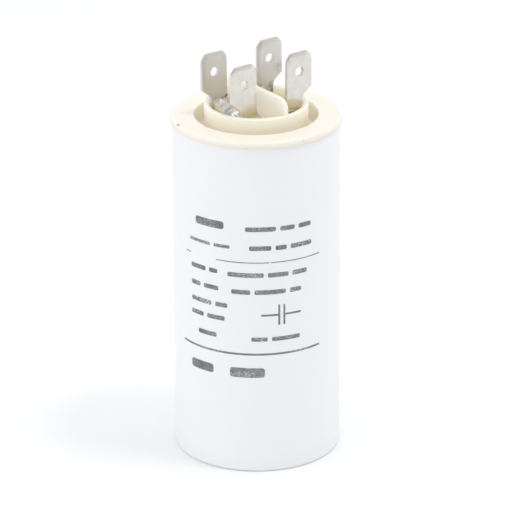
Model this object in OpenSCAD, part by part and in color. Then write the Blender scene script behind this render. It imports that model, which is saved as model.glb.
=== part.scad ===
// Motor-run film capacitor: a potted round case with a terminal deck and two double push-on terminals.
// Millimetres, +Z up, origin at the centre of the base. X runs across the divider, Y along it.

/* [Case] */
// Outside diameter of the case
case_d = 35; // [34:0.5:50]
// Height of the case, from the base to its rim
case_h = 72.7; // [60:0.1:110]
// Thickness of the case wall
case_wall = 1.2; // [0.8:0.1:1.6]
// Thickness of the case floor
case_floor = 1.8; // [1.2:0.1:3]
// Radius of the outer edge round the base
case_edge_r = 1; // [0.4:0.1:1.5]

/* [Deck] */
// Thickness of the flange that sits on the case rim
flange_t = 1.4; // [1.2:0.1:2.5]
// How far the flange stands out past the case
flange_overhang = 0.35; // [0.1:0.05:1]
// Radius of the flange's upper outer edge
flange_edge_r = 0.6; // [0.2:0.1:1]
// Depth of the skirt that centres the deck in the case
skirt_depth = 4; // [2:0.5:6]
// Gap between the skirt and the case wall
skirt_clearance = 0.1; // [0.05:0.05:0.3]
// Wall thickness of the deck moulding
deck_wall = 1.1; // [0.8:0.1:1.4]
// Width of the moat round the collar
moat_w = 2.05; // [1:0.05:2.6]
// Depth of the moat below the top of the flange
moat_depth = 3.5; // [2:0.1:5]
// Radius of the moat's outer lip
moat_lip_r = 0.3; // [0.1:0.05:0.5]
// Height of the collar above the flange
collar_h = 2.5; // [1:0.1:3.5]
// Thickness of the collar and of the divider
collar_wall = 1.1; // [0.8:0.1:1.6]
// Radius of both edges of the collar's rim
collar_edge_r = 0.35; // [0.1:0.05:0.38]
// Height of the divider above the flange
divider_h = 5.95; // [5:0.05:9]
// Radius of the divider's upper corners
divider_corner_r = 2.4; // [1:0.1:3]
// How far the divider's ends stay inside the collar's outer face
divider_setback = 0.1; // [0.05:0.05:0.3]

/* [Terminals] */
// Width of a tab
tab_w = 6.3; // [5:0.1:7.5]
// Thickness of the terminal sheet
tab_t = 0.8; // [0.5:0.1:1]
// Length of a tab's full width, from its tip to the shoulder
tab_l = 7.8; // [7:0.1:9]
// Height of the tab tips above the deck
tab_reach = 13.3; // [12.5:0.1:18]
// Width of the chamfer at a tip's corners
tip_chamfer_w = 1; // [0.4:0.1:1.6]
// Height of the chamfer at a tip's corners
tip_chamfer_h = 1.2; // [0.4:0.1:1.8]
// Length of the lead-in bevel on both faces of a tip
tip_bevel_l = 0.9; // [0.3:0.1:1.5]
// Thickness left at the end of a tip
tip_t = 0.35; // [0.2:0.05:0.45]
// Diameter of the detent hole
tab_hole_d = 2; // [1.2:0.1:2.6]
// Distance of the detent hole below the tip
tab_hole_drop = 4.2; // [3.2:0.1:5.2]
// Width of the neck and of the foot strip
neck_w = 4; // [3:0.1:4.8]
// Angle of the shoulder between tab and neck, from the level
shoulder_angle = 38; // [25:1:50]
// Radius between the shoulder and the neck
shoulder_r = 1.75; // [0.5:0.05:2]
// Distance between the facing edges of the two terminals
terminal_gap = 7.8; // [6:0.1:9]
// Distance between the two tabs of one terminal, sheet centre to sheet centre
tab_pitch = 10.3; // [8:0.1:12]
// Inner radius of the bends at the foot
bend_r = 0.8; // [0.4:0.1:1.5]
// Gap between the corner of a neck and the collar
terminal_clearance = 0.1; // [0.05:0.05:0.4]

/* [Winding] */
// Thickness of the filling between the winding and the case
side_fill = 1.3; // [0.6:0.1:3]
// Thickness of the filling under the lower contact
base_fill = 3.2; // [2.6:0.1:6]
// Depth of the filling over the upper contact
top_fill = 2; // [1.2:0.1:3]
// Room from the upper contact to the case rim
head_room = 10.5; // [9:0.1:16]
// Outside diameter of the tube that the film is wound on
core_d = 8; // [6:0.5:9]
// Wall thickness of that tube
core_wall = 1; // [0.6:0.1:1.2]
// Thickness of the sprayed contact on each end of the winding
spray_t = 0.6; // [0.3:0.1:1]
// Bare margin round the edge of each sprayed contact
spray_margin = 0.5; // [0.2:0.1:1.5]

/* [Leads] */
// Diameter of the lead wire
lead_d = 1.2; // [0.8:0.1:1.6]
// Radius of the bends in the left lead, at the wire's centre
lead_bend_r = 2; // [1.2:0.1:2.4]
// Gap round a lead in the deck and in the terminal
lead_clearance = 0.1; // [0.05:0.05:0.3]
// Length of the left lead's foot along the lower contact
lead_foot_l = 7; // [5.5:0.1:9]
// How far a lead stands up through its terminal
lead_proud = 0.8; // [0.4:0.1:1]
// Wall thickness of the sleeve on the left lead
sleeve_wall = 0.4; // [0.2:0.1:0.7]
// Radius of a solder joint's foot
solder_r = 1.8; // [1.5:0.1:1.9]
// Height of a solder joint
solder_h = 1.5; // [1.2:0.1:2]
// How high the solder climbs the back tab, above the foot strip
solder_climb_h = 3.1; // [2.4:0.1:3.6]
// Distance of the last lump's middle from the tab's face
solder_climb_sink = 0.9; // [0.4:0.1:1.2]
// Gap between the solder and the sides of the neck
solder_side_gap = 0.05; // [0.05:0.05:0.4]
// Number of lumps in the solder between the wire and the back tab
solder_lumps = 4; // [3:1:6]

/* [Hidden] */
$fn = 96;

// Overshoot of a cut past the face that it opens
cut = 1;

case_r = case_d / 2;
cavity_r = case_r - case_wall;

// Terminals, measured on the right-hand one
inner_x = terminal_gap / 2;
neck_x = inner_x + neck_w;
tab_x = inner_x + tab_w;
lead_x = inner_x + neck_w / 2;
foot_y = (tab_pitch + tab_t) / 2;
face_y = (tab_pitch - tab_t) / 2;
bend_out_r = bend_r + tab_t;

// Deck levels and radii
deck_top = case_h + flange_t;
flange_r = case_r + flange_overhang;
skirt_r = cavity_r - skirt_clearance;
collar_r = norm([neck_x, foot_y]) + terminal_clearance;
collar_out_r = collar_r + collar_wall;
collar_mid_r = collar_r + collar_wall / 2;
collar_top = deck_top + collar_h;
moat_r = collar_out_r + moat_w;
moat_bottom = deck_top - moat_depth;
deck_underside = deck_top - deck_wall;

// Terminal levels
tip_z = deck_top + tab_reach;
shoulder_z = tip_z - tab_l;
foot_top = deck_top + tab_t;

// Winding stack, from the case floor up
lower_spray_z = case_floor + base_fill;
winding_z = lower_spray_z + spray_t;
upper_spray_z = case_h - head_room - spray_t;
stack_top = upper_spray_z + spray_t;
fill_top = stack_top + top_fill;
winding_r = cavity_r - side_fill;
spray_r = winding_r - spray_margin;
core_r = core_d / 2;
core_bore_r = core_r - core_wall;

// Left lead
sleeve_r = lead_d / 2 + sleeve_wall;
sleeve_top = stack_top + top_fill / 2;
foot_z = lower_spray_z - lead_d / 2;
jog_z = sleeve_top + lead_bend_r;

// Section between two radii and two heights
module band(r0, r1, z0, z1) {
    translate([r0, z0]) square([r1 - r0, z1 - z0]);
}

// Round corner or rim in a section
module corner(r, z, radius) {
    translate([r, z]) circle(radius);
}

// Upright tube between two heights
module tube(r_in, r_out, z0, z1) {
    rotate_extrude() band(r_in, r_out, z0, z1);
}

// Outline in X and Z, as a slab through the whole part along Y
module slab_xz(depth) {
    rotate([90, 0, 0]) linear_extrude(depth, center = true) children();
}

// Profile in Y and Z, as a bar along X
module bar_yz(x0, x1) {
    translate([x0, 0, 0]) rotate([90, 0, 90]) linear_extrude(x1 - x0) children();
}

module case_section() {
    difference() {
        union() {
            band(0, case_r - case_edge_r, 0, case_h);
            band(0, case_r, case_edge_r, case_h);
            corner(case_r - case_edge_r, case_edge_r, case_edge_r);
        }
        band(0, cavity_r, case_floor, case_h + cut);
    }
}

module case() {
    color("white") rotate_extrude() case_section();
}

module flange_section() {
    band(moat_r + moat_lip_r, flange_r - flange_edge_r, case_h, deck_top);
    band(moat_r, moat_r + moat_lip_r, case_h, deck_top - moat_lip_r);
    band(flange_r - flange_edge_r, flange_r, case_h, deck_top - flange_edge_r);
    corner(moat_r + moat_lip_r, deck_top - moat_lip_r, moat_lip_r);
    corner(flange_r - flange_edge_r, deck_top - flange_edge_r, flange_edge_r);
}

module deck_section() {
    flange_section();
    // Skirt inside the case
    band(skirt_r - deck_wall, skirt_r, case_h - skirt_depth, deck_top - flange_edge_r);
    // Moat wall and floor
    band(moat_r, moat_r + deck_wall, moat_bottom - deck_wall, deck_top - moat_lip_r);
    band(collar_r, moat_r + deck_wall, moat_bottom - deck_wall, moat_bottom);
    // Collar with a rounded rim
    band(collar_r, collar_out_r, moat_bottom - deck_wall, collar_top - collar_edge_r);
    band(collar_r + collar_edge_r, collar_out_r - collar_edge_r, deck_top, collar_top);
    corner(collar_r + collar_edge_r, collar_top - collar_edge_r, collar_edge_r);
    corner(collar_out_r - collar_edge_r, collar_top - collar_edge_r, collar_edge_r);
    // Floor under the terminals
    band(0, collar_out_r, deck_underside, deck_top);
}

// Cross-section of the divider: a bar of a given length with one full-round end
module divider_profile(length) {
    edge_r = collar_wall / 2;
    translate([0, -edge_r]) square([length, 2 * edge_r]);
    translate([length, 0]) circle(edge_r);
}

// Upright wall across the collar, with a full-round edge along its top and down both ends
module divider() {
    edge_r = collar_wall / 2;
    edge_y = collar_mid_r - divider_setback;
    edge_z = deck_top + divider_h - edge_r;
    turn_r = divider_corner_r - edge_r;
    turn_y = edge_y - turn_r;
    turn_z = edge_z - turn_r;
    root_z = deck_top - deck_wall / 2;
    translate([-edge_r, -turn_y, root_z]) cube([2 * edge_r, 2 * turn_y, turn_z - root_z]);
    // Top, between the two corners
    translate([0, turn_y, turn_z]) rotate([90, 0, 0]) linear_extrude(2 * turn_y)
        rotate([0, 0, 90]) divider_profile(turn_r);
    for (side = [0, 180]) rotate([0, 0, side]) {
        // Corner
        translate([0, turn_y, turn_z]) rotate([90, 0, 90]) rotate_extrude(angle = 90) divider_profile(turn_r);
        // End, down into the collar
        translate([0, turn_y, root_z]) linear_extrude(turn_z - root_z)
            rotate([0, 0, 90]) divider_profile(turn_r);
    }
}

module lead_holes() {
    for (side = [-1, 1]) translate([side * lead_x, 0, deck_underside - cut])
        cylinder(d = lead_d + 2 * lead_clearance, h = deck_wall + tab_t + 2 * cut);
}

module deck() {
    color("cornsilk") difference() {
        union() {
            rotate_extrude() deck_section();
            divider();
        }
        lead_holes();
    }
}

// Side view of a terminal: a strip along the deck, turned up into two tabs with bevelled tips
module terminal_profile() {
    straight_y = foot_y - bend_out_r;
    translate([-straight_y, deck_top]) square([2 * straight_y, tab_t]);
    for (side = [-1, 1]) {
        translate([side * straight_y, deck_top + bend_out_r]) intersection() {
            difference() {
                circle(bend_out_r);
                circle(bend_r);
            }
            translate([side > 0 ? 0 : -bend_out_r, -bend_out_r]) square(bend_out_r);
        }
        translate([side * tab_pitch / 2, 0]) polygon([
            [-tab_t / 2, deck_top + bend_out_r],
            [tab_t / 2, deck_top + bend_out_r],
            [tab_t / 2, tip_z - tip_bevel_l],
            [tip_t / 2, tip_z],
            [-tip_t / 2, tip_z],
            [-tab_t / 2, tip_z - tip_bevel_l]
        ]);
    }
}

// Room beside the neck: the shoulder slopes in and runs down into the neck with a round corner
module neck_notch() {
    slope = [cos(shoulder_angle), sin(shoulder_angle)];
    centre_x = neck_x + shoulder_r;
    centre_z = shoulder_z + ((centre_x - tab_x) * slope.y - shoulder_r) / slope.x;
    polygon([
        [neck_x, deck_top - cut],
        [tab_x + cut, deck_top - cut],
        [tab_x + cut, shoulder_z + cut * slope.y / slope.x],
        [centre_x - shoulder_r * slope.y, centre_z + shoulder_r * slope.x],
        [centre_x, centre_z],
        [neck_x, centre_z]
    ]);
    translate([centre_x, centre_z]) circle(shoulder_r);
}

// Front view of a terminal: tab with chamfered corners above a narrow neck
module terminal_outline() {
    difference() {
        polygon([
            [inner_x, deck_top],
            [tab_x, deck_top],
            [tab_x, tip_z - tip_chamfer_h],
            [tab_x - tip_chamfer_w, tip_z],
            [inner_x + tip_chamfer_w, tip_z],
            [inner_x, tip_z - tip_chamfer_h]
        ]);
        neck_notch();
    }
}

module terminal() {
    hole_pos = [inner_x + tab_w / 2, 0, tip_z - tab_hole_drop];
    color("silver") difference() {
        intersection() {
            bar_yz(inner_x, tab_x) terminal_profile();
            slab_xz(2 * foot_y + 2 * cut) terminal_outline();
        }
        translate(hole_pos) rotate([90, 0, 0]) cylinder(d = tab_hole_d, h = 2 * foot_y + 2 * cut, center = true);
        lead_holes();
    }
}

module left_terminal() {
    mirror([1, 0, 0]) terminal();
}

module right_terminal() {
    terminal();
}

// Low dome of solder over the end of a wire, standing on z = 0
module solder_dome() {
    ball_r = (solder_r * solder_r + solder_h * solder_h) / (2 * solder_h);
    rotate_extrude() intersection() {
        translate([0, solder_h - ball_r]) circle(ball_r);
        square([solder_r + cut, solder_h + cut]);
    }
}

// Solder on the right-hand terminal: a run of lumps from the wire's end up into the foot of the back tab
module terminal_solder() {
    lump_r = neck_w / 2 - solder_side_gap;
    run_y = face_y - solder_climb_sink;
    difference() {
        intersection() {
            union() for (k = [0 : solder_lumps - 1]) {
                share = k / (solder_lumps - 1);
                lump_top = solder_h + share * (solder_climb_h - solder_h);
                translate([lead_x, share * run_y, foot_top + lump_top - lump_r]) sphere(lump_r);
            }
            translate([inner_x, -foot_y, foot_top]) cube([neck_w, foot_y + face_y, solder_climb_h + cut]);
        }
        terminal();
        right_lead();
    }
}

module left_solder() {
    color("lightgrey") mirror([1, 0, 0]) terminal_solder();
}

module right_solder() {
    color("lightgrey") terminal_solder();
}

// Quarter bend of wire in the XZ plane about a centre, from one direction angle to the next
module lead_bend(centre_x, centre_z, from_angle) {
    translate([centre_x, 0, centre_z]) rotate([90, 0, 0]) rotate([0, 0, from_angle])
        rotate_extrude(angle = 90) translate([lead_bend_r, 0]) circle(d = lead_d);
}

// Straight length of wire, level along X
module lead_level(x0, x1, z) {
    translate([x0, 0, z]) rotate([0, 90, 0]) cylinder(d = lead_d, h = x1 - x0);
}

// Straight length of wire, upright
module lead_upright(x, z0, z1) {
    translate([x, 0, z0]) cylinder(d = lead_d, h = z1 - z0);
}

// Foot along the lower contact, up through the core, across under the deck and up to the left terminal
module left_lead() {
    color("rosybrown") {
        lead_level(lead_bend_r, lead_foot_l, foot_z);
        lead_bend(lead_bend_r, foot_z + lead_bend_r, 180);
        lead_upright(0, foot_z + lead_bend_r, jog_z - lead_bend_r);
        lead_bend(-lead_bend_r, jog_z - lead_bend_r, 0);
        lead_level(lead_bend_r - lead_x, -lead_bend_r, jog_z);
        lead_bend(lead_bend_r - lead_x, jog_z + lead_bend_r, 180);
        lead_upright(-lead_x, jog_z + lead_bend_r, foot_top + lead_proud);
    }
}

module right_lead() {
    color("rosybrown") lead_upright(lead_x, stack_top, foot_top + lead_proud);
}

module lead_sleeve() {
    color("ivory") tube(lead_d / 2, sleeve_r, winding_z + lead_bend_r, sleeve_top);
}

module winding() {
    color("gainsboro") tube(core_r, winding_r, winding_z, upper_spray_z);
}

module winding_core() {
    color("tan") tube(core_bore_r, core_r, lower_spray_z, stack_top);
}

module upper_spray() {
    color("slategrey") tube(core_r, spray_r, upper_spray_z, stack_top);
}

module lower_spray() {
    color("slategrey") tube(core_r, spray_r, lower_spray_z, winding_z);
}

module upper_joint() {
    color("lightgrey") difference() {
        translate([lead_x, 0, stack_top]) solder_dome();
        right_lead();
    }
}

module lower_joint() {
    color("lightgrey") difference() {
        translate([lead_foot_l, 0, lower_spray_z]) mirror([0, 0, 1]) solder_dome();
        left_lead();
    }
}

// Everything that the filling is poured round
module potted_pieces() {
    winding();
    winding_core();
    upper_spray();
    lower_spray();
    lead_sleeve();
    left_lead();
    right_lead();
    upper_joint();
    lower_joint();
}

module filling() {
    color("goldenrod") difference() {
        translate([0, 0, case_floor]) cylinder(r = cavity_r, h = fill_top - case_floor);
        potted_pieces();
    }
}

case();
deck();
left_terminal();
right_terminal();
left_solder();
right_solder();
left_lead();
right_lead();
lead_sleeve();
winding();
winding_core();
upper_spray();
lower_spray();
upper_joint();
lower_joint();
filling();
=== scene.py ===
import math

import bmesh
import bpy
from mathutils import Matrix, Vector, noise


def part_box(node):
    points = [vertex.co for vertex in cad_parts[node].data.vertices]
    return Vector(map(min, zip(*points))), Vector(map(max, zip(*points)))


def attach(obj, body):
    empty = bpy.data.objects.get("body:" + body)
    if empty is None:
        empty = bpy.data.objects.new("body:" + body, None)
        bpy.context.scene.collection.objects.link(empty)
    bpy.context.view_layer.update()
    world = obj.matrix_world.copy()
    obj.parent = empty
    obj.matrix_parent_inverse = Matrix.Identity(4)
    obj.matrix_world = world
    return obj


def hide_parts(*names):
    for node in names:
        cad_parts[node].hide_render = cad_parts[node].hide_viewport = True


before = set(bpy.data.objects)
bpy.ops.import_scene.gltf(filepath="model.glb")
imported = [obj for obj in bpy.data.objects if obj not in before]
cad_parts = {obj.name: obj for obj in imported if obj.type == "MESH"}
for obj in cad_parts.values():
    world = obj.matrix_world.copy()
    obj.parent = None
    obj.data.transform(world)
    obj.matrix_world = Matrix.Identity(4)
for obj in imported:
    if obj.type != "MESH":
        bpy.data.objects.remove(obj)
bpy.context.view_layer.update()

# Looks of an upright motor-run capacitor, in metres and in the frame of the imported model:
# Z up from the base, X across the divider, Y along it.
MM = 0.001

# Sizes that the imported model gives
case_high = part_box("case")[1]
deck_low, deck_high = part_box("deck")
sheet_low, sheet_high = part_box("right_terminal")
solder_low, solder_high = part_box("right_solder")
CASE_R = case_high.x
CASE_H = case_high.z
FLANGE_R = deck_high.x
SKIRT_Z = deck_low.z
DIVIDER_TOP = deck_high.z
DECK_TOP = sheet_low.z
INNER_X = sheet_low.x
TAB_X = sheet_high.x
FOOT_Y = sheet_high.y
TIP_Z = sheet_high.z

# Case and deck
CASE_WALL = 1.2 * MM
CASE_FLOOR = 1.8 * MM
CASE_EDGE_R = 0.6 * MM
CASE_RIM_R = 0.1 * MM
CASE_FLOOR_FILLET = 0.5 * MM
CASE_WAVE = 0.02 * MM
CASE_WAVE_L = 12 * MM
CASE_STEP = 4 * MM
FLANGE_EDGE_R = 0.6 * MM
FLANGE_UNDER_R = 0.1 * MM
SKIRT_CLEARANCE = 0.1 * MM
DECK_WALL = 1.1 * MM
DECK_UNDER_R = 0.2 * MM
DECK_STEP = 2 * MM
MOAT_W = 2.05 * MM
MOAT_DEPTH = 3.5 * MM
MOAT_LIP_R = 0.3 * MM
COLLAR_H = 2.5 * MM
COLLAR_WALL = 1.1 * MM
COLLAR_EDGE_R = 0.35 * MM
CORNER_FILLET = 0.35 * MM
FILLET_SINK = 0.02 * MM
FILLET_STEPS = 8
DIVIDER_CORNER_R = 2.4 * MM
DIVIDER_CORNER_STEPS = 16
DIVIDER_SETBACK = 0.1 * MM
DIVIDER_FLAT = 0.04 * MM
DIVIDER_EDGE_STEPS = 8
LEAD_HOLE_R = 0.7 * MM
LEAD_HOLE_SPARE = 1.0 * MM
LEAD_HOLE_STEPS = 24
TURN_STEPS = 256
ON_AXIS = 1e-9

# Terminals
TAB_T = 0.8 * MM
TAB_L = 7.8 * MM
TIP_CHAMFER_W = 1.0 * MM
TIP_CHAMFER_H = 1.2 * MM
TIP_BEVEL_L = 1.15 * MM
TIP_T = 0.35 * MM
TIP_CORNER_R = 0.7 * MM
TIP_STEP = 0.3 * MM
TIP_EASE = 1.3
TAB_HOLE_R = 1.0 * MM
TAB_HOLE_STEPS = 16
TAB_HOLE_DROP = 4.2 * MM
NECK_W = 4.0 * MM
SHOULDER_ANGLE = math.radians(38)
SHOULDER_R = 1.75 * MM
# Feet of the tabs, which widen towards the divider
FLARE_W = 1.6 * MM
FLARE_CORNER_Z = 76.4 * MM
FLARE_ANGLE = math.radians(40)
FLARE_R = 3.2 * MM
FLARE_FOOT_R = 0.4 * MM
STAMP_CORNER_R = 0.15 * MM
STAMP_EDGE_R = 0.07 * MM
STAMP_EDGE_STEPS = 2
STAMP_EDGE_ANGLE = math.radians(80)
SLIVER = 0.001 * MM
SAME_POINT_DIGITS = 9
BEND_R = 0.8 * MM
BEND_STEPS = 10
TERMINAL_CLEARANCE = 0.1 * MM

# Shading and rounding of meshes
SMOOTH_DEG = 30
SMOOTH_SHEET_DEG = 20
SMOOTH_SOLDER_DEG = 60
ROUND_PROFILE = 0.5
ARC_STEPS = 6

# Levels and radii that follow from those
NECK_X = INNER_X + NECK_W
LEAD_X = INNER_X + NECK_W / 2
FACE_Y = FOOT_Y - TAB_T
COLLAR_R = math.hypot(NECK_X, FOOT_Y) + TERMINAL_CLEARANCE
COLLAR_OUT_R = COLLAR_R + COLLAR_WALL
COLLAR_TOP = DECK_TOP + COLLAR_H
MOAT_R = COLLAR_OUT_R + MOAT_W
MOAT_BOTTOM = DECK_TOP - MOAT_DEPTH
DECK_UNDERSIDE = DECK_TOP - DECK_WALL
CAVITY_R = CASE_R - CASE_WALL
SKIRT_R = CAVITY_R - SKIRT_CLEARANCE
FOOT_TOP = DECK_TOP + TAB_T

# The photograph's camera: its turn about the part, tilt, roll and distance,
# and the point in the middle of the frame
CAMERA_TURN = math.radians(-36.2)
CAMERA_TILT = math.radians(22.69)
CAMERA_ROLL = math.radians(-0.25)
CAMERA_FAR = 819.7 * MM
CAMERA_LENS = 269.8
CAMERA_SENSOR = 36
CAMERA_NEAREST = 0.05
CAMERA_FURTHEST = 20
AIM = Vector((0.53, -0.39, 40.99)) * MM

# Colours
CASE_WHITE = (0.90, 0.898, 0.902)
CASE_WHITE_WARM = (0.91, 0.905, 0.90)
CREAM = (0.925, 0.863, 0.775)
CREAM_DEEP = (0.915, 0.845, 0.742)
# Painted shade: darker cream for the flange's side
CREAM_PAINTED_SHADE = (0.85, 0.775, 0.67)
# Painted light: paler cream for the moat, collar and divider
CREAM_PAINTED_LIGHT = (0.99, 0.90, 0.785)
CREAM_PAINTED_LIGHT_DEEP = (0.985, 0.885, 0.75)
# Painted light: warmer cream inside the collar
CREAM_PAINTED_GLOW = (0.99, 0.855, 0.66)
CREAM_PAINTED_GLOW_DEEP = (0.985, 0.835, 0.61)
# Painted light: deep orange cream for the collar's inner wall
CREAM_PAINTED_WALL_GLOW = (0.995, 0.81, 0.55)
TIN = (0.75, 0.715, 0.66)
TIN_DULL = (0.69, 0.655, 0.60)
# Painted shade: darker, warmer tin for the back tabs
TIN_PAINTED_SHADE = (0.69, 0.67, 0.625)
TIN_DULLEST = (0.57, 0.56, 0.52)
SOLDER = (0.86, 0.86, 0.86)
SOLDER_GREY = (0.42, 0.43, 0.38)
SOLDER_DULL = (0.61, 0.575, 0.53)
FLUX_AMBER = (0.80, 0.69, 0.47)
STRAW_YELLOW = (0.95, 0.72, 0.32)
# Burnt and brown flux; the marks also use these for a painted shadow under the right front tab's
# bend
BURNT_FLUX_AND_SHADOW = (0.15, 0.09, 0.06)
BROWN_FLUX_AND_SHADOW = (0.26, 0.19, 0.13)
INK = (0.125, 0.125, 0.135)
INK_THIN = (0.21, 0.21, 0.225)
DIRT = (0.16, 0.15, 0.14)
DIRT_PALE = (0.38, 0.36, 0.32)
DUST = (0.42, 0.38, 0.34)
DUST_PALE = (0.62, 0.57, 0.51)
WIRE_TIN = (0.76, 0.74, 0.72)
WIRE_COPPER = (0.72, 0.45, 0.32)
FILM = (0.74, 0.74, 0.75)
FILM_DARK = (0.58, 0.58, 0.6)
ZINC = (0.52, 0.53, 0.55)
ZINC_DARK = (0.34, 0.35, 0.37)
RESIN = (0.70, 0.54, 0.24)
RESIN_DARK = (0.54, 0.38, 0.14)
RESIN_COAT = 0.3
SLEEVE = (0.88, 0.86, 0.78)
SLEEVE_DARK = (0.80, 0.77, 0.68)
CORE = (0.74, 0.66, 0.52)
CORE_DARK = (0.64, 0.55, 0.42)

# Brown flux on the tabs' inner faces, in millimetres: place across and up, and the radii between
# which it fades. A first radius below 0 makes the whole stain faint.
FLUX_STAINS = [(7.7, 76.7, 0.5, 1.7), (9.25, 80.9, -1.2, 1.6)]
# Deeper yellow spot on the collar's inner edge, and the radii between which it fades
RIM_YELLOW_AT = (-9.1 * MM, 1.8 * MM, COLLAR_TOP)
RIM_YELLOW_INNER = 0.3 * MM
RIM_YELLOW_OUTER = 1.5 * MM
# Middle of the right back tab's duller lower half, and the radii between which it fades
DULL_AT = (7.05 * MM, FACE_Y, 78.6 * MM)
DULL_INNER = 3.4 * MM
DULL_OUTER = 5.4 * MM

# The deck's translucent plastic: how far light spreads in it,
# and how far in the thin walls of the collar
DECK_IOR = 1.55
SCATTER_SHARE = 0.5
SCATTER_RADII = (0.8, 0.8, 0.7)
SCATTER_L = 1.0 * MM
SCATTER_THIN_L = 8.0 * MM

# Range that noise mostly keeps to, and the sockets of a Mix node for colours
NOISE_LOW = 0.3
NOISE_HIGH = 0.7
MIX_SHARE = 0
MIX_COLOURS = (6, 7)
MIX_RESULT = 2


class Look:
    """A node material round one Principled shader."""

    def __init__(self, name, metallic=0.0):
        self.material = bpy.data.materials.new(name)
        self.material.use_nodes = True
        self.tree = self.material.node_tree
        self.shader = self.tree.nodes["Principled BSDF"]
        self.place = self.node("ShaderNodeTexCoord").outputs["Object"]
        self.normal = None
        self.put("Metallic", metallic)

    def node(self, kind, **settings):
        made = self.tree.nodes.new(kind)
        for name, value in settings.items():
            setattr(made, name, value)
        return made

    def put(self, socket, value, node=None):
        """Links a socket to a node's input, by default the shader's, or sets a value there."""
        target = (node or self.shader).inputs[socket]
        if isinstance(value, bpy.types.NodeSocket):
            self.tree.links.new(value, target)
        else:
            target.default_value = value

    def noise(self, size, detail=2.0, stretch=(1, 1, 1)):
        """Noise with marks about size metres across, drawn out along each axis by its stretch."""
        mapping = self.node("ShaderNodeMapping")
        self.put("Vector", self.place, mapping)
        self.put("Scale", [1 / (size * s) for s in stretch], mapping)
        made = self.node("ShaderNodeTexNoise")
        self.put("Vector", mapping.outputs["Vector"], made)
        self.put("Scale", 1.0, made)
        self.put("Detail", detail, made)
        return made.outputs["Fac"]

    def span(self, value, low, high, start=0.0, end=1.0):
        """Maps a value's range low..high to start..end."""
        made = self.node("ShaderNodeMapRange")
        self.put("Value", value, made)
        ends = {"From Min": low, "From Max": high, "To Min": start, "To Max": end}
        for socket, number in ends.items():
            self.put(socket, number, made)
        return made.outputs["Result"]

    def grade(self, share, start, end):
        """Goes from start to end as a share goes from 0 to 1."""
        return self.span(share, 0.0, 1.0, start, end)

    def roughness(self, grain, smoothest, roughest):
        """Roughness that follows a noise."""
        self.put("Roughness", self.span(grain, NOISE_LOW, NOISE_HIGH, smoothest, roughest))

    def mix(self, share, first, second):
        """Colour between two colours."""
        made = self.node("ShaderNodeMix", data_type="RGBA")
        self.put(MIX_SHARE, share, made)
        for socket, colour in zip(MIX_COLOURS, (first, second)):
            linked = isinstance(colour, bpy.types.NodeSocket)
            self.put(socket, colour if linked else (*colour, 1.0), made)
        return made.outputs[MIX_RESULT]

    def times(self, first, second):
        made = self.node("ShaderNodeMath", operation="MULTIPLY")
        self.put(0, first, made)
        self.put(1, second, made)
        return made.outputs[0]

    def axis(self, name):
        """One coordinate of the surface point, in metres."""
        made = self.node("ShaderNodeSeparateXYZ")
        self.put("Vector", self.place, made)
        return made.outputs[name]

    def near(self, point, inner, outer):
        """1 within a distance of a point, falling to 0 further out."""
        made = self.node("ShaderNodeVectorMath", operation="DISTANCE")
        self.put(0, self.place, made)
        self.put(1, point, made)
        return self.span(made.outputs["Value"], inner, outer, 1.0, 0.0)

    def around_axis(self, inner, outer):
        """1 within a radius of the part's upright axis, falling to 0 further out."""
        flat = self.node("ShaderNodeVectorMath", operation="MULTIPLY")
        self.put(0, self.place, flat)
        self.put(1, (1, 1, 0), flat)
        far = self.node("ShaderNodeVectorMath", operation="LENGTH")
        self.put(0, flat.outputs["Vector"], far)
        return self.span(far.outputs["Value"], inner, outer, 1.0, 0.0)

    def attribute(self, name):
        return self.node("ShaderNodeAttribute", attribute_name=name).outputs["Fac"]

    def bump(self, height, depth):
        """Adds relief of a depth in metres, over any that is there already."""
        made = self.node("ShaderNodeBump")
        self.put("Distance", depth, made)
        self.put("Height", height, made)
        if self.normal:
            self.put("Normal", self.normal, made)
        self.normal = made.outputs["Normal"]
        self.put("Normal", self.normal)


def case_look():
    look = Look("case_plastic")
    clouds = look.noise(size=11 * MM, detail=3)
    look.put("Base Color", look.mix(clouds, CASE_WHITE, CASE_WHITE_WARM))
    look.roughness(look.noise(size=1.5 * MM, detail=4), smoothest=0.32, roughest=0.42)
    look.bump(look.noise(size=0.15 * MM), depth=0.004 * MM)
    look.bump(look.noise(size=2.5 * MM), depth=0.01 * MM)
    return look.material


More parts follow.
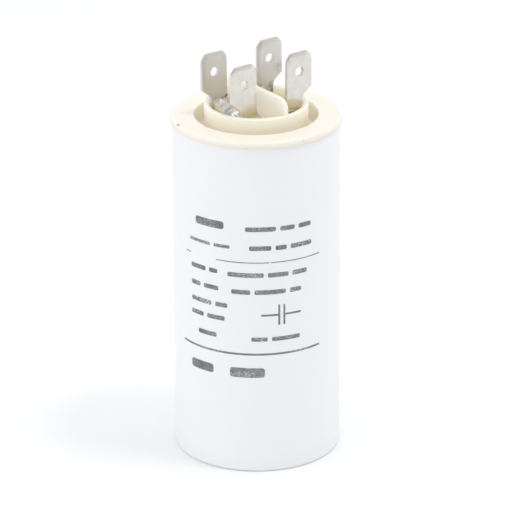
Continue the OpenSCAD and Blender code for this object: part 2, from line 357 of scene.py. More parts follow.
def deck_look():
    look = Look("deck_plastic")
    height = look.axis("Z")
    clouds = look.noise(size=5 * MM, detail=4)
    sheltered = look.around_axis(MOAT_R, MOAT_R + 2 * MOAT_LIP_R)
    raised = look.span(height, DECK_TOP, DECK_TOP + COLLAR_H / 2)
    within = look.times(look.around_axis(COLLAR_R, COLLAR_OUT_R), raised)
    # Painted shade: the flange's side turns darker cream towards its lower edge.
    flange_side = look.span(height, CASE_H, DECK_TOP - FLANGE_EDGE_R, start=1.0, end=0.0)
    colour = look.mix(flange_side, look.mix(clouds, CREAM, CREAM_DEEP), CREAM_PAINTED_SHADE)
    # Painted light: within the moat the cream is paler, standing in for light bounced into the
    # recesses.
    colour = look.mix(sheltered, colour, look.mix(clouds, CREAM_PAINTED_LIGHT, CREAM_PAINTED_LIGHT_DEEP))
    # Painted light: inside the collar, above the floor, a warmer and deeper cream stands in for
    # light glowing through the thin walls.
    colour = look.mix(within, colour, look.mix(clouds, CREAM_PAINTED_GLOW, CREAM_PAINTED_GLOW_DEEP))
    # Painted light: the collar's inner wall below its rim is deep orange cream, standing in for
    # light glowing through the wall.
    off_wall = look.around_axis(COLLAR_R - COLLAR_EDGE_R, COLLAR_R - COLLAR_EDGE_R / 3)
    past_floor = look.grade(off_wall, start=1.0, end=0.0)
    on_wall = look.times(look.around_axis(COLLAR_R, COLLAR_R + COLLAR_EDGE_R), past_floor)
    rim = COLLAR_TOP - COLLAR_EDGE_R
    under_rim = look.span(height, rim - COLLAR_EDGE_R, rim, start=1.0, end=0.0)
    colour = look.mix(look.times(on_wall, under_rim), colour, CREAM_PAINTED_WALL_GLOW)
    # Deeper yellow spot on the collar's inner edge
    spot = look.near(RIM_YELLOW_AT, RIM_YELLOW_INNER, RIM_YELLOW_OUTER)
    spot = look.times(spot, look.noise(size=0.8 * MM, detail=3))
    look.put("Base Color", look.mix(spot, colour, STRAW_YELLOW))
    look.put("IOR", DECK_IOR)
    look.put("Subsurface Weight", look.grade(sheltered, SCATTER_SHARE, 1.0))
    look.put("Subsurface Radius", SCATTER_RADII)
    look.put("Subsurface Scale", look.grade(within, SCATTER_L, SCATTER_THIN_L))
    look.roughness(look.noise(size=1.2 * MM, detail=4), smoothest=0.3, roughest=0.42)
    look.bump(look.noise(size=0.18 * MM), depth=0.004 * MM)
    look.bump(look.noise(size=2 * MM), depth=0.01 * MM)
    return look.material


def sheet_look():
    look = Look("tinned_sheet", metallic=1.0)
    streaks = look.noise(size=0.35 * MM, detail=3, stretch=(1, 1, 14))
    patches = look.noise(size=1.6 * MM, detail=3)
    tin = look.mix(look.span(patches, low=0.35, high=0.65), TIN, TIN_DULL)
    # Painted shade: the back tabs take a darker, warmer copy of the tin, for the dimmer
    # surroundings they reflect; they are also less metallic and rougher.
    back_tabs = look.span(look.axis("Y"), low=0.0, high=FACE_Y)
    colour = look.mix(back_tabs, tin, look.mix(patches, TIN_PAINTED_SHADE, TIN_DULL))
    dulled = look.near(DULL_AT, DULL_INNER, DULL_OUTER)
    colour = look.mix(look.times(dulled, patches), colour, TIN_DULLEST)
    for x, z, inner, outer in FLUX_STAINS:
        ragged = look.span(look.noise(size=0.8 * MM, detail=3), low=0.3, high=0.6)
        spot = look.near((x * MM, FACE_Y, z * MM), inner * MM, outer * MM)
        colour = look.mix(look.times(spot, ragged), colour, BROWN_FLUX_AND_SHADOW)
    look.put("Base Color", colour)
    look.put("Metallic", look.grade(back_tabs, start=1.0, end=0.7))
    smoothest = look.grade(back_tabs, start=0.18, end=0.3)
    roughest = look.grade(back_tabs, start=0.28, end=0.42)
    look.roughness(streaks, smoothest, roughest)
    look.bump(streaks, depth=0.002 * MM)
    look.bump(look.noise(size=1.2 * MM), depth=0.008 * MM)
    return look.material


def solder_look():
    look = Look("bright_solder", metallic=1.0)
    patches = look.noise(size=0.9 * MM, detail=3)
    shine = look.attribute("shine")
    burnt = look.attribute("burnt")
    greyed = look.times(look.attribute("grey"), look.span(patches, low=0.4, high=0.6))
    dull = look.mix(greyed, SOLDER_DULL, SOLDER_GREY)
    stained = look.mix(look.attribute("amber"), look.mix(shine, dull, SOLDER), FLUX_AMBER)
    look.put("Base Color", look.mix(burnt, stained, BURNT_FLUX_AND_SHADOW))
    clean = look.span(burnt, low=0.2, high=0.8, start=1.0, end=0.3)
    bright = look.span(shine, low=0.2, high=1.0, start=0.6, end=1.0)
    look.put("Metallic", look.times(clean, bright))
    look.put("Roughness", look.span(shine, low=0.2, high=1.0, start=0.5, end=0.14))
    look.bump(look.noise(size=0.6 * MM), depth=0.01 * MM)
    return look.material


def ink_look():
    look = Look("grey_ink")
    specks = look.span(look.noise(size=0.22 * MM, detail=4), low=0.52, high=0.62)
    worn = look.times(specks, look.span(look.noise(size=6 * MM), low=0.35, high=0.65))
    ink = look.mix(look.noise(size=1.5 * MM, detail=3), INK, INK_THIN)
    look.put("Base Color", look.mix(worn, ink, CASE_WHITE))
    look.roughness(look.noise(size=0.3 * MM), smoothest=0.5, roughest=0.65)
    look.bump(look.noise(size=0.2 * MM), depth=0.004 * MM)
    return look.material


def mark_look(name, colour, colour_thin):
    look = Look(name)
    look.put("Base Color", look.mix(look.noise(size=0.3 * MM, detail=3), colour, colour_thin))
    look.roughness(look.noise(size=0.2 * MM), smoothest=0.45, roughest=0.7)
    look.bump(look.noise(size=0.15 * MM), depth=0.02 * MM)
    return look.material


def wire_look():
    look = Look("tinned_wire", metallic=1.0)
    streaks = look.noise(size=0.3 * MM, detail=3, stretch=(1, 1, 8))
    look.put("Base Color", look.mix(look.span(streaks, low=0.4, high=0.6), WIRE_TIN, WIRE_COPPER))
    look.roughness(streaks, smoothest=0.25, roughest=0.4)
    look.bump(streaks, depth=0.01 * MM)
    return look.material


def film_look():
    look = Look("wound_film", metallic=0.6)
    turns = look.noise(size=0.4 * MM, detail=3, stretch=(20, 20, 1))
    look.put("Base Color", look.mix(turns, FILM, FILM_DARK))
    look.roughness(turns, smoothest=0.2, roughest=0.36)
    look.bump(turns, depth=0.02 * MM)
    return look.material


def spray_look():
    look = Look("sprayed_zinc", metallic=0.8)
    grains = look.noise(size=0.25 * MM, detail=4)
    look.put("Base Color", look.mix(grains, ZINC, ZINC_DARK))
    look.roughness(grains, smoothest=0.6, roughest=0.85)
    look.bump(grains, depth=0.08 * MM)
    return look.material


def resin_look():
    look = Look("poured_resin")
    clouds = look.noise(size=4 * MM, detail=3)
    look.put("Base Color", look.mix(clouds, RESIN, RESIN_DARK))
    look.roughness(clouds, smoothest=0.12, roughest=0.25)
    look.put("Coat Weight", RESIN_COAT)
    look.bump(look.noise(size=3 * MM), depth=0.05 * MM)
    return look.material


def moulded_look(name, pale, dark):
    look = Look(name)
    look.put("Base Color", look.mix(look.noise(size=2 * MM, detail=3), pale, dark))
    look.roughness(look.noise(size=0.6 * MM), smoothest=0.4, roughest=0.55)
    look.bump(look.noise(size=0.3 * MM), depth=0.01 * MM)
    return look.material


def face_outwards(bm):
    """Turns the faces of each closed island of a mesh outwards."""
    bmesh.ops.recalc_face_normals(bm, faces=bm.faces)
    seen = set()
    for first in bm.faces[:]:
        if first in seen:
            continue
        seen.add(first)
        island = [first]
        for face in island:
            around = [other for edge in face.edges for other in edge.link_faces]
            fresh = list(dict.fromkeys(other for other in around if other not in seen))
            seen.update(fresh)
            island += fresh
        middle = sum((face.calc_center_median() for face in island), Vector()) / len(island)
        flow = sum((f.calc_center_median() - middle).dot(f.normal) * f.calc_area() for f in island)
        if flow < 0:
            bmesh.ops.reverse_faces(bm, faces=island)


def add_mesh(name, bm):
    """Turns a bmesh into an object in the scene, and frees it."""
    mesh = bpy.data.meshes.new(name)
    bm.to_mesh(mesh)
    bm.free()
    return add_object(name, mesh)


def add_object(name, data):
    made = bpy.data.objects.new(name, data)
    bpy.context.scene.collection.objects.link(made)
    return made


def add_piece(name, bm, material, nodes=(), smooth_deg=SMOOTH_DEG):
    """Makes a mesh piece on the root body, standing for the given nodes."""
    face_outwards(bm)
    piece = add_mesh(name, bm)
    piece.data.materials.append(material)
    smooth(piece, smooth_deg)
    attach(piece, "root")
    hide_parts(*nodes)
    return piece


def smooth(piece, angle_deg):
    """Smooth shading with sharp edges past an angle."""
    piece.data.shade_smooth()
    piece.data.set_sharp_from_angle(angle=math.radians(angle_deg))


def clamp(value, low=0, high=1):
    return min(max(value, low), high)


def rounded(corners, steps=ARC_STEPS):
    """Outline points from corners (u, v, radius), with an arc in each corner that has a radius."""
    points = []
    for k, (u, v, radius) in enumerate(corners):
        here = Vector((u, v))
        if not radius:
            points.append(here)
            continue
        back = (Vector(corners[k - 1][:2]) - here).normalized()
        ahead = (Vector(corners[(k + 1) % len(corners)][:2]) - here).normalized()
        half = back.angle(ahead) / 2
        centre = here + (back + ahead).normalized() * radius / math.sin(half)
        start = here + back * radius / math.tan(half) - centre
        end = here + ahead * radius / math.tan(half) - centre
        first = math.atan2(start.y, start.x)
        sweep = (math.atan2(end.y, end.x) - first + math.pi) % math.tau - math.pi
        for s in range(steps + 1):
            angle = first + sweep * s / steps
            points.append(centre + radius * Vector((math.cos(angle), math.sin(angle))))
    return points


def divided(points, longest):
    """The same line of points, with no step longer than a length."""
    line = [points[0]]
    for a, b in zip(points, points[1:]):
        count = max(1, math.ceil((b - a).length / longest))
        line += [a.lerp(b, k / count) for k in range(1, count + 1)]
    return line


def lathe(profile, wave=0.0):
    """Solid turned from (radius, height) points, from axis to axis, with dents as deep as wave."""
    bm = bmesh.new()
    rings = []
    for r, z in profile:
        level = Vector((0, 0, z))
        if r < ON_AXIS:
            rings.append([bm.verts.new(level)])
            continue
        ring = []
        for k in range(TURN_STEPS):
            angle = math.tau * k / TURN_STEPS
            out = Vector((math.cos(angle), math.sin(angle), 0))
            swell = noise.noise((out * r + level) / CASE_WAVE_L)
            ring.append(bm.verts.new(out * (r - wave * abs(swell)) + level))
        rings.append(ring)
    for one, two in zip(rings, rings[1:]):
        for k in range(TURN_STEPS):
            after = k + 1
            lower = [one[k % len(one)], one[after % len(one)]]
            upper = [two[after % len(two)], two[k % len(two)]]
            bm.faces.new(list(dict.fromkeys(lower + upper)))
    return bm


def draw_out(bm, faces, direction):
    """Draws faces out along a direction into a solid."""
    moved = bmesh.ops.extrude_face_region(bm, geom=faces)["geom"]
    far_side = [v for v in moved if isinstance(v, bmesh.types.BMVert)]
    bmesh.ops.translate(bm, verts=far_side, vec=direction)
    bmesh.ops.recalc_face_normals(bm, faces=bm.faces)


def prism(outline, direction):
    """Solid from a closed outline of points, drawn out along a direction."""
    bm = bmesh.new()
    face = bm.faces.new([bm.verts.new(p) for p in outline])
    draw_out(bm, [face], direction)
    return bm


def round_off(bm, edges, radius, steps):
    """Rounds edges of a solid."""
    shape = {"segments": steps, "profile": ROUND_PROFILE, "affect": "EDGES"}
    bmesh.ops.bevel(bm, geom=edges, offset=radius, **shape)


def change(piece, bm, operation):
    """Joins a form to a piece or cuts it away."""
    tool = add_mesh("tool", bm)
    step = piece.modifiers.new("step", "BOOLEAN")
    step.operation = operation
    step.solver = "EXACT"
    step.object = tool
    bpy.context.view_layer.update()
    changed = piece.evaluated_get(bpy.context.evaluated_depsgraph_get())
    made = bpy.data.meshes.new_from_object(changed)
    piece.modifiers.clear()
    spent = [piece.data, tool.data]
    piece.data = made
    made.name = piece.name
    bpy.data.objects.remove(tool)
    for mesh in spent:
        bpy.data.meshes.remove(mesh)


def build_case(material):
    profile = rounded([
        (0, 0, 0),
        (CASE_R, 0, CASE_EDGE_R),
        (CASE_R, CASE_H, CASE_RIM_R),
        (CAVITY_R, CASE_H, CASE_RIM_R),
        (CAVITY_R, CASE_FLOOR, CASE_FLOOR_FILLET),
        (0, CASE_FLOOR, 0),
    ])
    bm = lathe(divided(profile, CASE_STEP), CASE_WAVE)
    add_piece("case_shell", bm, material, ["case"])


def build_deck(material):
    inner_wall = SKIRT_R - DECK_WALL
    moat_wall = MOAT_R + DECK_WALL
    profile = rounded([
        (0, DECK_TOP, 0),
        (COLLAR_R, DECK_TOP, CORNER_FILLET),
        (COLLAR_R, COLLAR_TOP, COLLAR_EDGE_R),
        (COLLAR_OUT_R, COLLAR_TOP, COLLAR_EDGE_R),
        (COLLAR_OUT_R, MOAT_BOTTOM, CORNER_FILLET),
        (MOAT_R, MOAT_BOTTOM, CORNER_FILLET),
        (MOAT_R, DECK_TOP, MOAT_LIP_R),
        (FLANGE_R, DECK_TOP, FLANGE_EDGE_R),
        (FLANGE_R, CASE_H, FLANGE_UNDER_R),
        (SKIRT_R, CASE_H, 0),
        (SKIRT_R, SKIRT_Z, DECK_UNDER_R),
        (inner_wall, SKIRT_Z, DECK_UNDER_R),
        (inner_wall, CASE_H, CORNER_FILLET),
        (moat_wall, CASE_H, CORNER_FILLET),
        (moat_wall, MOAT_BOTTOM - DECK_WALL, CORNER_FILLET),
        (COLLAR_R, MOAT_BOTTOM - DECK_WALL, DECK_UNDER_R),
        (COLLAR_R, DECK_UNDERSIDE, CORNER_FILLET),
        (0, DECK_UNDERSIDE, 0),
    ])
    bm = lathe(divided(profile, DECK_STEP))
    deck = add_piece("deck_moulding", bm, material, ["deck"])
    change(deck, divider_form(), "UNION")
    change(deck, divider_foot(), "UNION")
    for side in (-1, 1):
        change(deck, lead_hole(side * LEAD_X), "DIFFERENCE")
    smooth(deck, SMOOTH_DEG)


def divider_form():
    """Upright wall across the collar, with a round edge along its top and down both ends."""
    end = COLLAR_OUT_R - DIVIDER_SETBACK
    root = DECK_TOP - DECK_WALL / 2
    outline = rounded([
        (-end, root, 0),
        (end, root, 0),
        (end, DIVIDER_TOP, DIVIDER_CORNER_R),
        (-end, DIVIDER_TOP, DIVIDER_CORNER_R),
    ], steps=DIVIDER_CORNER_STEPS)
    half = COLLAR_WALL / 2
    bm = prism([(-half, y, z) for y, z in outline], (COLLAR_WALL, 0, 0))
    rim = [e for e in bm.edges if abs(e.verts[0].co.x - e.verts[1].co.x) < half / 2]
    round_off(bm, rim, half - DIVIDER_FLAT / 2, DIVIDER_EDGE_STEPS)
    return bm


def divider_foot():
    """Fillets between the divider and the floor, sunk a little into both."""
    half = COLLAR_WALL / 2
    flare = half + CORNER_FILLET
    top = DECK_TOP + CORNER_FILLET
    turns = [math.pi / 2 * k / FILLET_STEPS for k in range(FILLET_STEPS + 1)]
    arc = [(flare - CORNER_FILLET * math.sin(a), top - CORNER_FILLET * math.cos(a)) for a in turns]
    right = [(flare, DECK_TOP - FILLET_SINK)] + arc + [(half - FILLET_SINK, top)]
    outline = right + [(-x, z) for x, z in reversed(right)]
    reach = COLLAR_R + COLLAR_WALL / 3
    return prism([(x, -reach, z) for x, z in outline], (0, 2 * reach, 0))


def lead_hole(x):
    """Round form to cut through the deck."""
    turns = [math.tau * k / LEAD_HOLE_STEPS for k in range(LEAD_HOLE_STEPS)]
    bottom = DECK_UNDERSIDE - LEAD_HOLE_SPARE
    outline = [(x + LEAD_HOLE_R * math.cos(a), LEAD_HOLE_R * math.sin(a), bottom) for a in turns]
    return prism(outline, (0, 0, DECK_WALL + 2 * LEAD_HOLE_SPARE))


# Where a bend starts along the flat blank, from the middle of the strip, and its length there
BEND_START = FOOT_Y - BEND_R - TAB_T
BEND_L = (BEND_R + TAB_T / 2) * math.pi / 2


def along(z):
    """Length along the flat blank that ends up at a height on a tab."""
    return BEND_START + BEND_L + z - DECK_TOP - BEND_R - TAB_T


def tip_share(s, x):
    """How far a point is into the bevel round a tip: 0 where it starts, 1 at the edge."""
    from_tip = along(TIP_Z) - s
    from_side = min(TAB_X - x, x - INNER_X)
    past_chamfer = from_tip / TIP_CHAMFER_H + from_side / TIP_CHAMFER_W - 1
    from_chamfer = past_chamfer / math.hypot(1 / TIP_CHAMFER_H, 1 / TIP_CHAMFER_W)
    return clamp(1 - min(from_tip, from_chamfer) / TIP_BEVEL_L)


def folded(s, x, n):
    """Where a point of the flat blank lies after folding; n is its depth towards the inside."""
    side = math.copysign(1, s)
    s = abs(s)
    n *= 1 - (1 - TIP_T / TAB_T) * tip_share(s, x) ** TIP_EASE
    radius = BEND_R + TAB_T / 2
    angle = clamp((s - BEND_START) / radius, high=math.pi / 2)
    y = min(s, BEND_START) + (radius - n) * math.sin(angle)
    z = DECK_TOP + BEND_R + TAB_T - (radius - n) * math.cos(angle)
    rise = max(s - BEND_START - BEND_L, 0)
    return Vector((x, side * y, z + rise))


def blank():
    """Flat stamped sheet of one terminal in s and x, in two halves that meet through the holes."""
    bm = bmesh.new()
    tip = along(TIP_Z)
    chamfer = along(TIP_Z - TIP_CHAMFER_H)
    shoulder = along(DECK_TOP) + (TIP_Z - TAB_L - DECK_TOP)
    neck_top = shoulder - (TAB_X - NECK_X) * math.tan(SHOULDER_ANGLE)
    hole = along(TIP_Z - TAB_HOLE_DROP)
    middle = (INNER_X + TAB_X) / 2
    outer = [
        (neck_top, NECK_X, SHOULDER_R),
        (shoulder, TAB_X, STAMP_CORNER_R),
        (chamfer, TAB_X, TIP_CORNER_R),
        (tip, TAB_X - TIP_CHAMFER_W, TIP_CORNER_R),
        (tip, middle, 0),
    ]
    flare = along(FLARE_CORNER_Z)
    inner = [
        (flare - FLARE_W * math.tan(FLARE_ANGLE), INNER_X - FLARE_W, FLARE_FOOT_R),
        (flare, INNER_X, FLARE_R),
        (chamfer, INNER_X, TIP_CORNER_R),
        (tip, INNER_X + TIP_CHAMFER_W, TIP_CORNER_R),
        (tip, middle, 0),
    ]
    shared = {}

    def vertex(s, x):
        key = (round(s, SAME_POINT_DIGITS), round(x, SAME_POINT_DIGITS))
        if key not in shared:
            shared[key] = bm.verts.new((s, x, 0))
        return shared[key]

    turns = [math.pi * k / TAB_HOLE_STEPS for k in range(TAB_HOLE_STEPS + 1)]
    for half, hand in ((outer, 1), (inner, -1)):
        other = [(-s, x, r) for s, x, r in half]
        edge = rounded(other[::-1] + half)
        arc = [(TAB_HOLE_R * math.cos(a), hand * TAB_HOLE_R * math.sin(a)) for a in turns]
        ring = [(p.x, p.y) for p in edge]
        ring += [(hole + u, middle + v) for u, v in arc]
        ring += [(-hole + u, middle + v) for u, v in arc]
        bm.faces.new([vertex(s, x) for s, x in ring])
    return bm


def build_terminal(name, node, hand, material):
    """Stamps, rounds, bevels and folds one terminal; hand is its side of the divider."""
    bm = blank()
    bmesh.ops.recalc_face_normals(bm, faces=bm.faces)
    draw_out(bm, bm.faces[:], (0, 0, TAB_T))
    bmesh.ops.translate(bm, verts=bm.verts, vec=(0, 0, -TAB_T / 2))
    between = [e for e in bm.edges if len(e.link_faces) == 2]
    sharp = [e for e in between if e.calc_face_angle() > STAMP_EDGE_ANGLE]
    rim = [e for e in sharp if abs(e.verts[0].co.z - e.verts[1].co.z) < TAB_T / 2]
    round_off(bm, rim, STAMP_EDGE_R, STAMP_EDGE_STEPS)
    bmesh.ops.triangulate(bm, faces=bm.faces)
    cuts = [BEND_START + BEND_L * k / BEND_STEPS for k in range(BEND_STEPS + 1)]
    rows = math.ceil((TIP_CHAMFER_H + TIP_BEVEL_L) / TIP_STEP)
    cuts += [along(TIP_Z - TIP_STEP * k) for k in range(1, rows)]
    planes = [((s, 0, 0), (1, 0, 0)) for s in cuts + [-s for s in cuts]]
    width = TAB_X - INNER_X
    columns = math.ceil(width / TIP_STEP)
    lines = [INNER_X + width * k / columns for k in range(1, columns)]
    planes += [((0, x, 0), (0, 1, 0)) for x in lines]
    for place, across in planes:
        geom = bm.verts[:] + bm.edges[:] + bm.faces[:]
        bmesh.ops.bisect_plane(bm, geom=geom, plane_co=place, plane_no=across)
    bmesh.ops.dissolve_degenerate(bm, dist=SLIVER, edges=bm.edges)
    for v in bm.verts:
        s, x, n = v.co
        v.co = folded(s, x, n)
        v.co.x *= hand
    add_piece(name, bm, material, [node], SMOOTH_SHEET_DEG)


# Solder run on a terminal
SOLDER_FRONT = solder_low.y
SOLDER_HALF_W = (solder_high.x - solder_low.x) / 2
SOLDER_SINK = 0.02 * MM
SOLDER_ROWS = 110
SOLDER_COLUMNS = 60
# Lumps of a run: distance from the divider, place along the run, radius and height, in millimetres
LEFT_LUMPS = [
    (6.5, 0.3, 1.3, 1.3),
    (5.6, 0.4, 1.3, 1.45),
    (5.4, -0.7, 0.95, 1.15),
    (6.3, -0.9, 0.85, 1.0),
    (5.4, 1.5, 1.5, 1.5),
    (6.4, 2.3, 1.6, 1.6),
    (5.6, 3.2, 1.6, 1.9),
    (6.5, 4.3, 1.7, 2.5),
    (5.0, 4.4, 1.2, 2.5),
]
RIGHT_LUMPS = [
    (5.7, 0.0, 1.6, 1.1),
    (6.0, 1.4, 1.4, 0.8),
    (5.5, 2.6, 1.4, 0.9),
    (5.6, 4.0, 1.6, 1.6),
    (4.7, 4.4, 0.9, 2.9),
]
LUMP_BLEND = 4
LUMP_UNEVEN = 0.07
LUMP_GRAIN = 1.7
# Flux on the runs: distance from the divider, place along the run, and radius, in millimetres
LEFT_FLUX = {
    "amber": [(8.0, 3.3, 0.7), (7.9, 2.3, 0.7), (7.7, 1.3, 0.5)],
    "burnt": [(5.1, 4.2, 0.5), (5.6, 3.9, 0.4)],
}
RIGHT_FLUX = {
    "amber": [(7.6, 1.5, 0.9)],
    "burnt": [(6.6, 4.4, 0.9), (5.6, 3.6, 0.5)],
}
FLUX_STRENGTH = 1.2
FLUX_RAGGED = 0.5
FLUX_GRAIN = 2.5
# Along a run: where the bright front ends, and between which places the solder is not greyed
SHINE_END = -0.6 * MM
SHINE_FADE = 0.6 * MM
GREY_END = 1.6 * MM
GREY_START = 3.4 * MM


def strip_top(y):
    """Height of the terminal's inner surface along the strip and up into the bend."""
    into = clamp(y - BEND_START, high=BEND_R)
    return FOOT_TOP + BEND_R - math.sqrt(BEND_R ** 2 - into ** 2)


def spotted(place, spots):
    """How strongly the spots mark a place: 1 in a spot's middle, 0 past its ragged edge."""
    mark = 0
    for x, y, radius in spots:
        ragged = FLUX_RAGGED * noise.noise(place * FLUX_GRAIN)
        far = (place.xy - Vector((x, y))).length / radius + ragged
        mark = max(mark, clamp(FLUX_STRENGTH - FLUX_STRENGTH * far))
    return mark


def lump_height(place, lumps):
    """Height of the blended lumps over the strip, in millimetres."""
    total = 0
    for x, y, radius, top in lumps:
        inside = 1 - (place.xy - Vector((x, y))).length_squared / radius ** 2
        if inside > 0:
            total += (top * math.sqrt(inside)) ** LUMP_BLEND
    return total ** (1 / LUMP_BLEND) * (1 + LUMP_UNEVEN * noise.noise(place * LUMP_GRAIN))


def build_solder(name, node, hand, lumps, flux, material):
    """Lumpy run of solder from the wire's end up into the back tab's foot, with flux on it."""
    bm = bmesh.new()
    layers = {key: bm.verts.layers.float.new(key) for key in ("shine", "grey", "amber", "burnt")}
    grid = {}
    for j in range(SOLDER_ROWS + 1):
        y = SOLDER_FRONT + (FACE_Y - SOLDER_FRONT) * j / SOLDER_ROWS
        for i in range(SOLDER_COLUMNS + 1):
            x = LEAD_X + SOLDER_HALF_W * (2 * i / SOLDER_COLUMNS - 1)
            place = Vector((x, y, 0)) / MM
            grid[i, j] = (place, lump_height(place, lumps) * MM)

    cells = []
    for j in range(SOLDER_ROWS):
        for i in range(SOLDER_COLUMNS):
            corners = [(i, j), (i + 1, j), (i + 1, j + 1), (i, j + 1)]
            if max(grid[corner][1] for corner in corners) > 0:
                cells.append(corners)
    covered = {corners[0] for corners in cells}
    covered |= {(i, SOLDER_ROWS) for i, j in covered if j == SOLDER_ROWS - 1}

    tops, feet = {}, {}
    for i, j in sorted({corner for corners in cells for corner in corners}):
        place, lump = grid[i, j]
        x, y = place.xy * MM
        low = strip_top(y) - SOLDER_SINK
        foot = bm.verts.new((hand * x, y, low))
        top = foot
        if covered.issuperset([(i - 1, j - 1), (i, j - 1), (i - 1, j), (i, j)]):
            height = max(low, FOOT_TOP - SOLDER_SINK + lump) + SOLDER_SINK / 2
            top = bm.verts.new((hand * x, y, min(height, solder_high.z)))
        top[layers["shine"]] = clamp((SHINE_END - y) / SHINE_FADE)
        top[layers["grey"]] = clamp(max(GREY_END - y, y - GREY_START) / SHINE_FADE)
        for key, spots in flux.items():
            top[layers[key]] = spotted(place, spots)
        tops[i, j] = top
        feet[i, j] = foot
    for corners in cells:
        upper = [tops[corner] for corner in corners]
        lower = [feet[corner] for corner in corners]
        bm.faces.new(upper)
        bm.faces.new(lower[::-1])
        if corners[2][1] == SOLDER_ROWS:
            back = list(dict.fromkeys([upper[3], upper[2], lower[2], lower[3]]))
            if len(back) > 2:
                bm.faces.new(back)
    add_piece(name, bm, material, [node], SMOOTH_SOLDER_DEG)


# Print on the case: places are (arc from the photograph's side, height) in millimetres
PRINT_PROUD = 0.02 * MM
PRINT_SINK = 0.05 * MM
PRINT_STEP = 0.4 * MM
BAR_STEPS = 8
CORNER_STEPS = 4
# Rules: start and end of the arc, height and width
RULES = [
    (-17.2, -15.6, 47.6, 0.2),
    (-8.8, 2.6, 47.6, 0.2),
    (2.9, 14.6, 47.6, 0.2),
    (-18.4, 14.6, 27.0, 0.44),
]
RULE_ROUND = 0.45
# Rows of bars: start of the arc, height of the middle, height of the bars and their lengths
BAR_ROWS = [
    (-14.0, 55.4, 1.7, [7.0]),
    (-2.4, 55.0, 1.0, [6.4, 3.2, 3.0]),
    (-15.8, 50.8, 0.7, [5.6, 3.6]),
    (-1.6, 50.8, 1.0, [4.6, 2.4, 5.0]),
    (-15.4, 45.0, 1.0, [4.0, 2.0]),
    (-6.2, 44.8, 1.0, [7.6, 4.4, 3.4]),
    (-15.4, 41.2, 1.0, [2.6, 3.6]),
    (-5.4, 41.0, 1.0, [4.0, 6.6, 2.6]),
    (-15.4, 37.6, 1.0, [5.4, 2.8]),
    (-15.4, 34.6, 1.0, [3.4, 4.2]),
    (-13.4, 30.6, 1.0, [4.6]),
    (-1.2, 30.4, 0.9, [3.4, 6.2]),
    (-15.6, 22.8, 2.0, [6.0]),
    (-5.8, 22.8, 2.2, [7.4]),
]
BAR_GAP = 0.9
BAR_ROUND = 0.3
# Symbol: its middle, its leads and its two upright plates
SYMBOL_AT = (5.2, 35.8)
SYMBOL_LEAD_L = 3.6
SYMBOL_PLATE_H = 4.6
SYMBOL_PLATE_GAP = 1.1
SYMBOL_LINE_W = 0.42
SYMBOL_ROUND = 0.4


def on_case(arc, z, proud):
    """Point on the case wall, by its arc length from the photograph's side."""
    angle = CAMERA_TURN - math.pi / 2 + arc / CASE_R
    r = CASE_R + proud
    return Vector((r * math.cos(angle), r * math.sin(angle), z))


def add_bar(bm, arc, z, length, height, round_share):
    """Thin bar of ink on the wall, in millimetres, with corners rounded by a share of its width."""
    arc, z, length, height = arc * MM, z * MM, length * MM, height * MM
    corner = round_share * min(length, height)
    count = max(BAR_STEPS, math.ceil(length / PRINT_STEP))
    ends = [corner * (1 - math.cos(math.pi / 2 * k / CORNER_STEPS)) for k in range(CORNER_STEPS)]
    middle = [corner + (length - 2 * corner) * k / count for k in range(count + 1)]
    columns = ends + middle + [length - e for e in reversed(ends)]
    loops = []
    for a in columns:
        into = max(corner - min(a, length - a), 0)
        half = height / 2 - corner + math.sqrt(max(corner ** 2 - into ** 2, 0))
        section = [(-half, -PRINT_SINK), (half, -PRINT_SINK)]
        section += [(half, PRINT_PROUD), (-half, PRINT_PROUD)]
        loops.append([bm.verts.new(on_case(arc + a, z + up, proud)) for up, proud in section])
    for one, two in zip(loops, loops[1:]):
        for k in range(len(one)):
            after = (k + 1) % len(one)
            bm.faces.new([one[k], one[after], two[after], two[k]])
    bm.faces.new(loops[0])
    bm.faces.new(loops[-1][::-1])


def build_print(material):
    rules = bmesh.new()
    for start, end, z, width in RULES:
        add_bar(rules, start, z, end - start, width, RULE_ROUND)
    add_piece("print_rules", rules, material)

    bars = bmesh.new()
    for start, z, tall, lengths in BAR_ROWS:
        arc = start
        for length in lengths:
            add_bar(bars, arc, z, length, tall, BAR_ROUND)
            arc += length + BAR_GAP
    add_piece("print_bars", bars, material)

    symbol = bmesh.new()
    arc, z = SYMBOL_AT
    line = SYMBOL_LINE_W
    for side in (-1, 1):
        plate = arc + side * SYMBOL_PLATE_GAP / 2 - line / 2
        add_bar(symbol, plate, z, line, SYMBOL_PLATE_H, SYMBOL_ROUND)
        lead = plate + line if side > 0 else plate - SYMBOL_LEAD_L
        add_bar(symbol, lead, z, SYMBOL_LEAD_L, line, SYMBOL_ROUND)
    add_piece("print_symbol", symbol, material)


# Small marks in millimetres: place, outward direction, long direction, half length and half width
DIRT_MARKS = [
    ((-16.99, 3.85, 74.1), (0, 0, 1), (0.8, -0.6, 0), 0.34, 0.26),
]
FAINT_MARKS = [
    ((-12.1, -13.08, 73.0), (-0.68, -0.73, 0), (0.73, -0.68, 0), 0.26, 0.08),
    ((-1.15, -17.78, 73.5), (-0.06, -1, 0), (1, -0.06, 0), 0.24, 0.09),
]
FLUX_AND_SHADOW_MARKS = [
    ((-4.12, 4.75, 77.5), (0, -1, 0), (1, 0, 0), 0.4, 0.26),
    ((-4.45, 4.75, 77.1), (0, -1, 0), (0.6, 0, 1), 0.34, 0.2),
    # Painted shadow: a dark sliver in the gap under the right front tab's bend
    ((5.2, -5.02, 74.5), (0, -0.67, -0.74), (1, 0, 0), 0.9, 0.16),
]
MARK_H = 0.04 * MM
MARK_STEPS = 20
MARK_RAGGED = 0.5
MARK_GRAIN = 1.6
MARK_TOP_SHARE = 0.7


def ring_drop(place):
    """How far the ring's top has rounded off at a place near its outer edge."""
    past = max(place.xy.length - (FLANGE_R - FLANGE_EDGE_R), 0)
    return FLANGE_EDGE_R - math.sqrt(FLANGE_EDGE_R ** 2 - past ** 2)


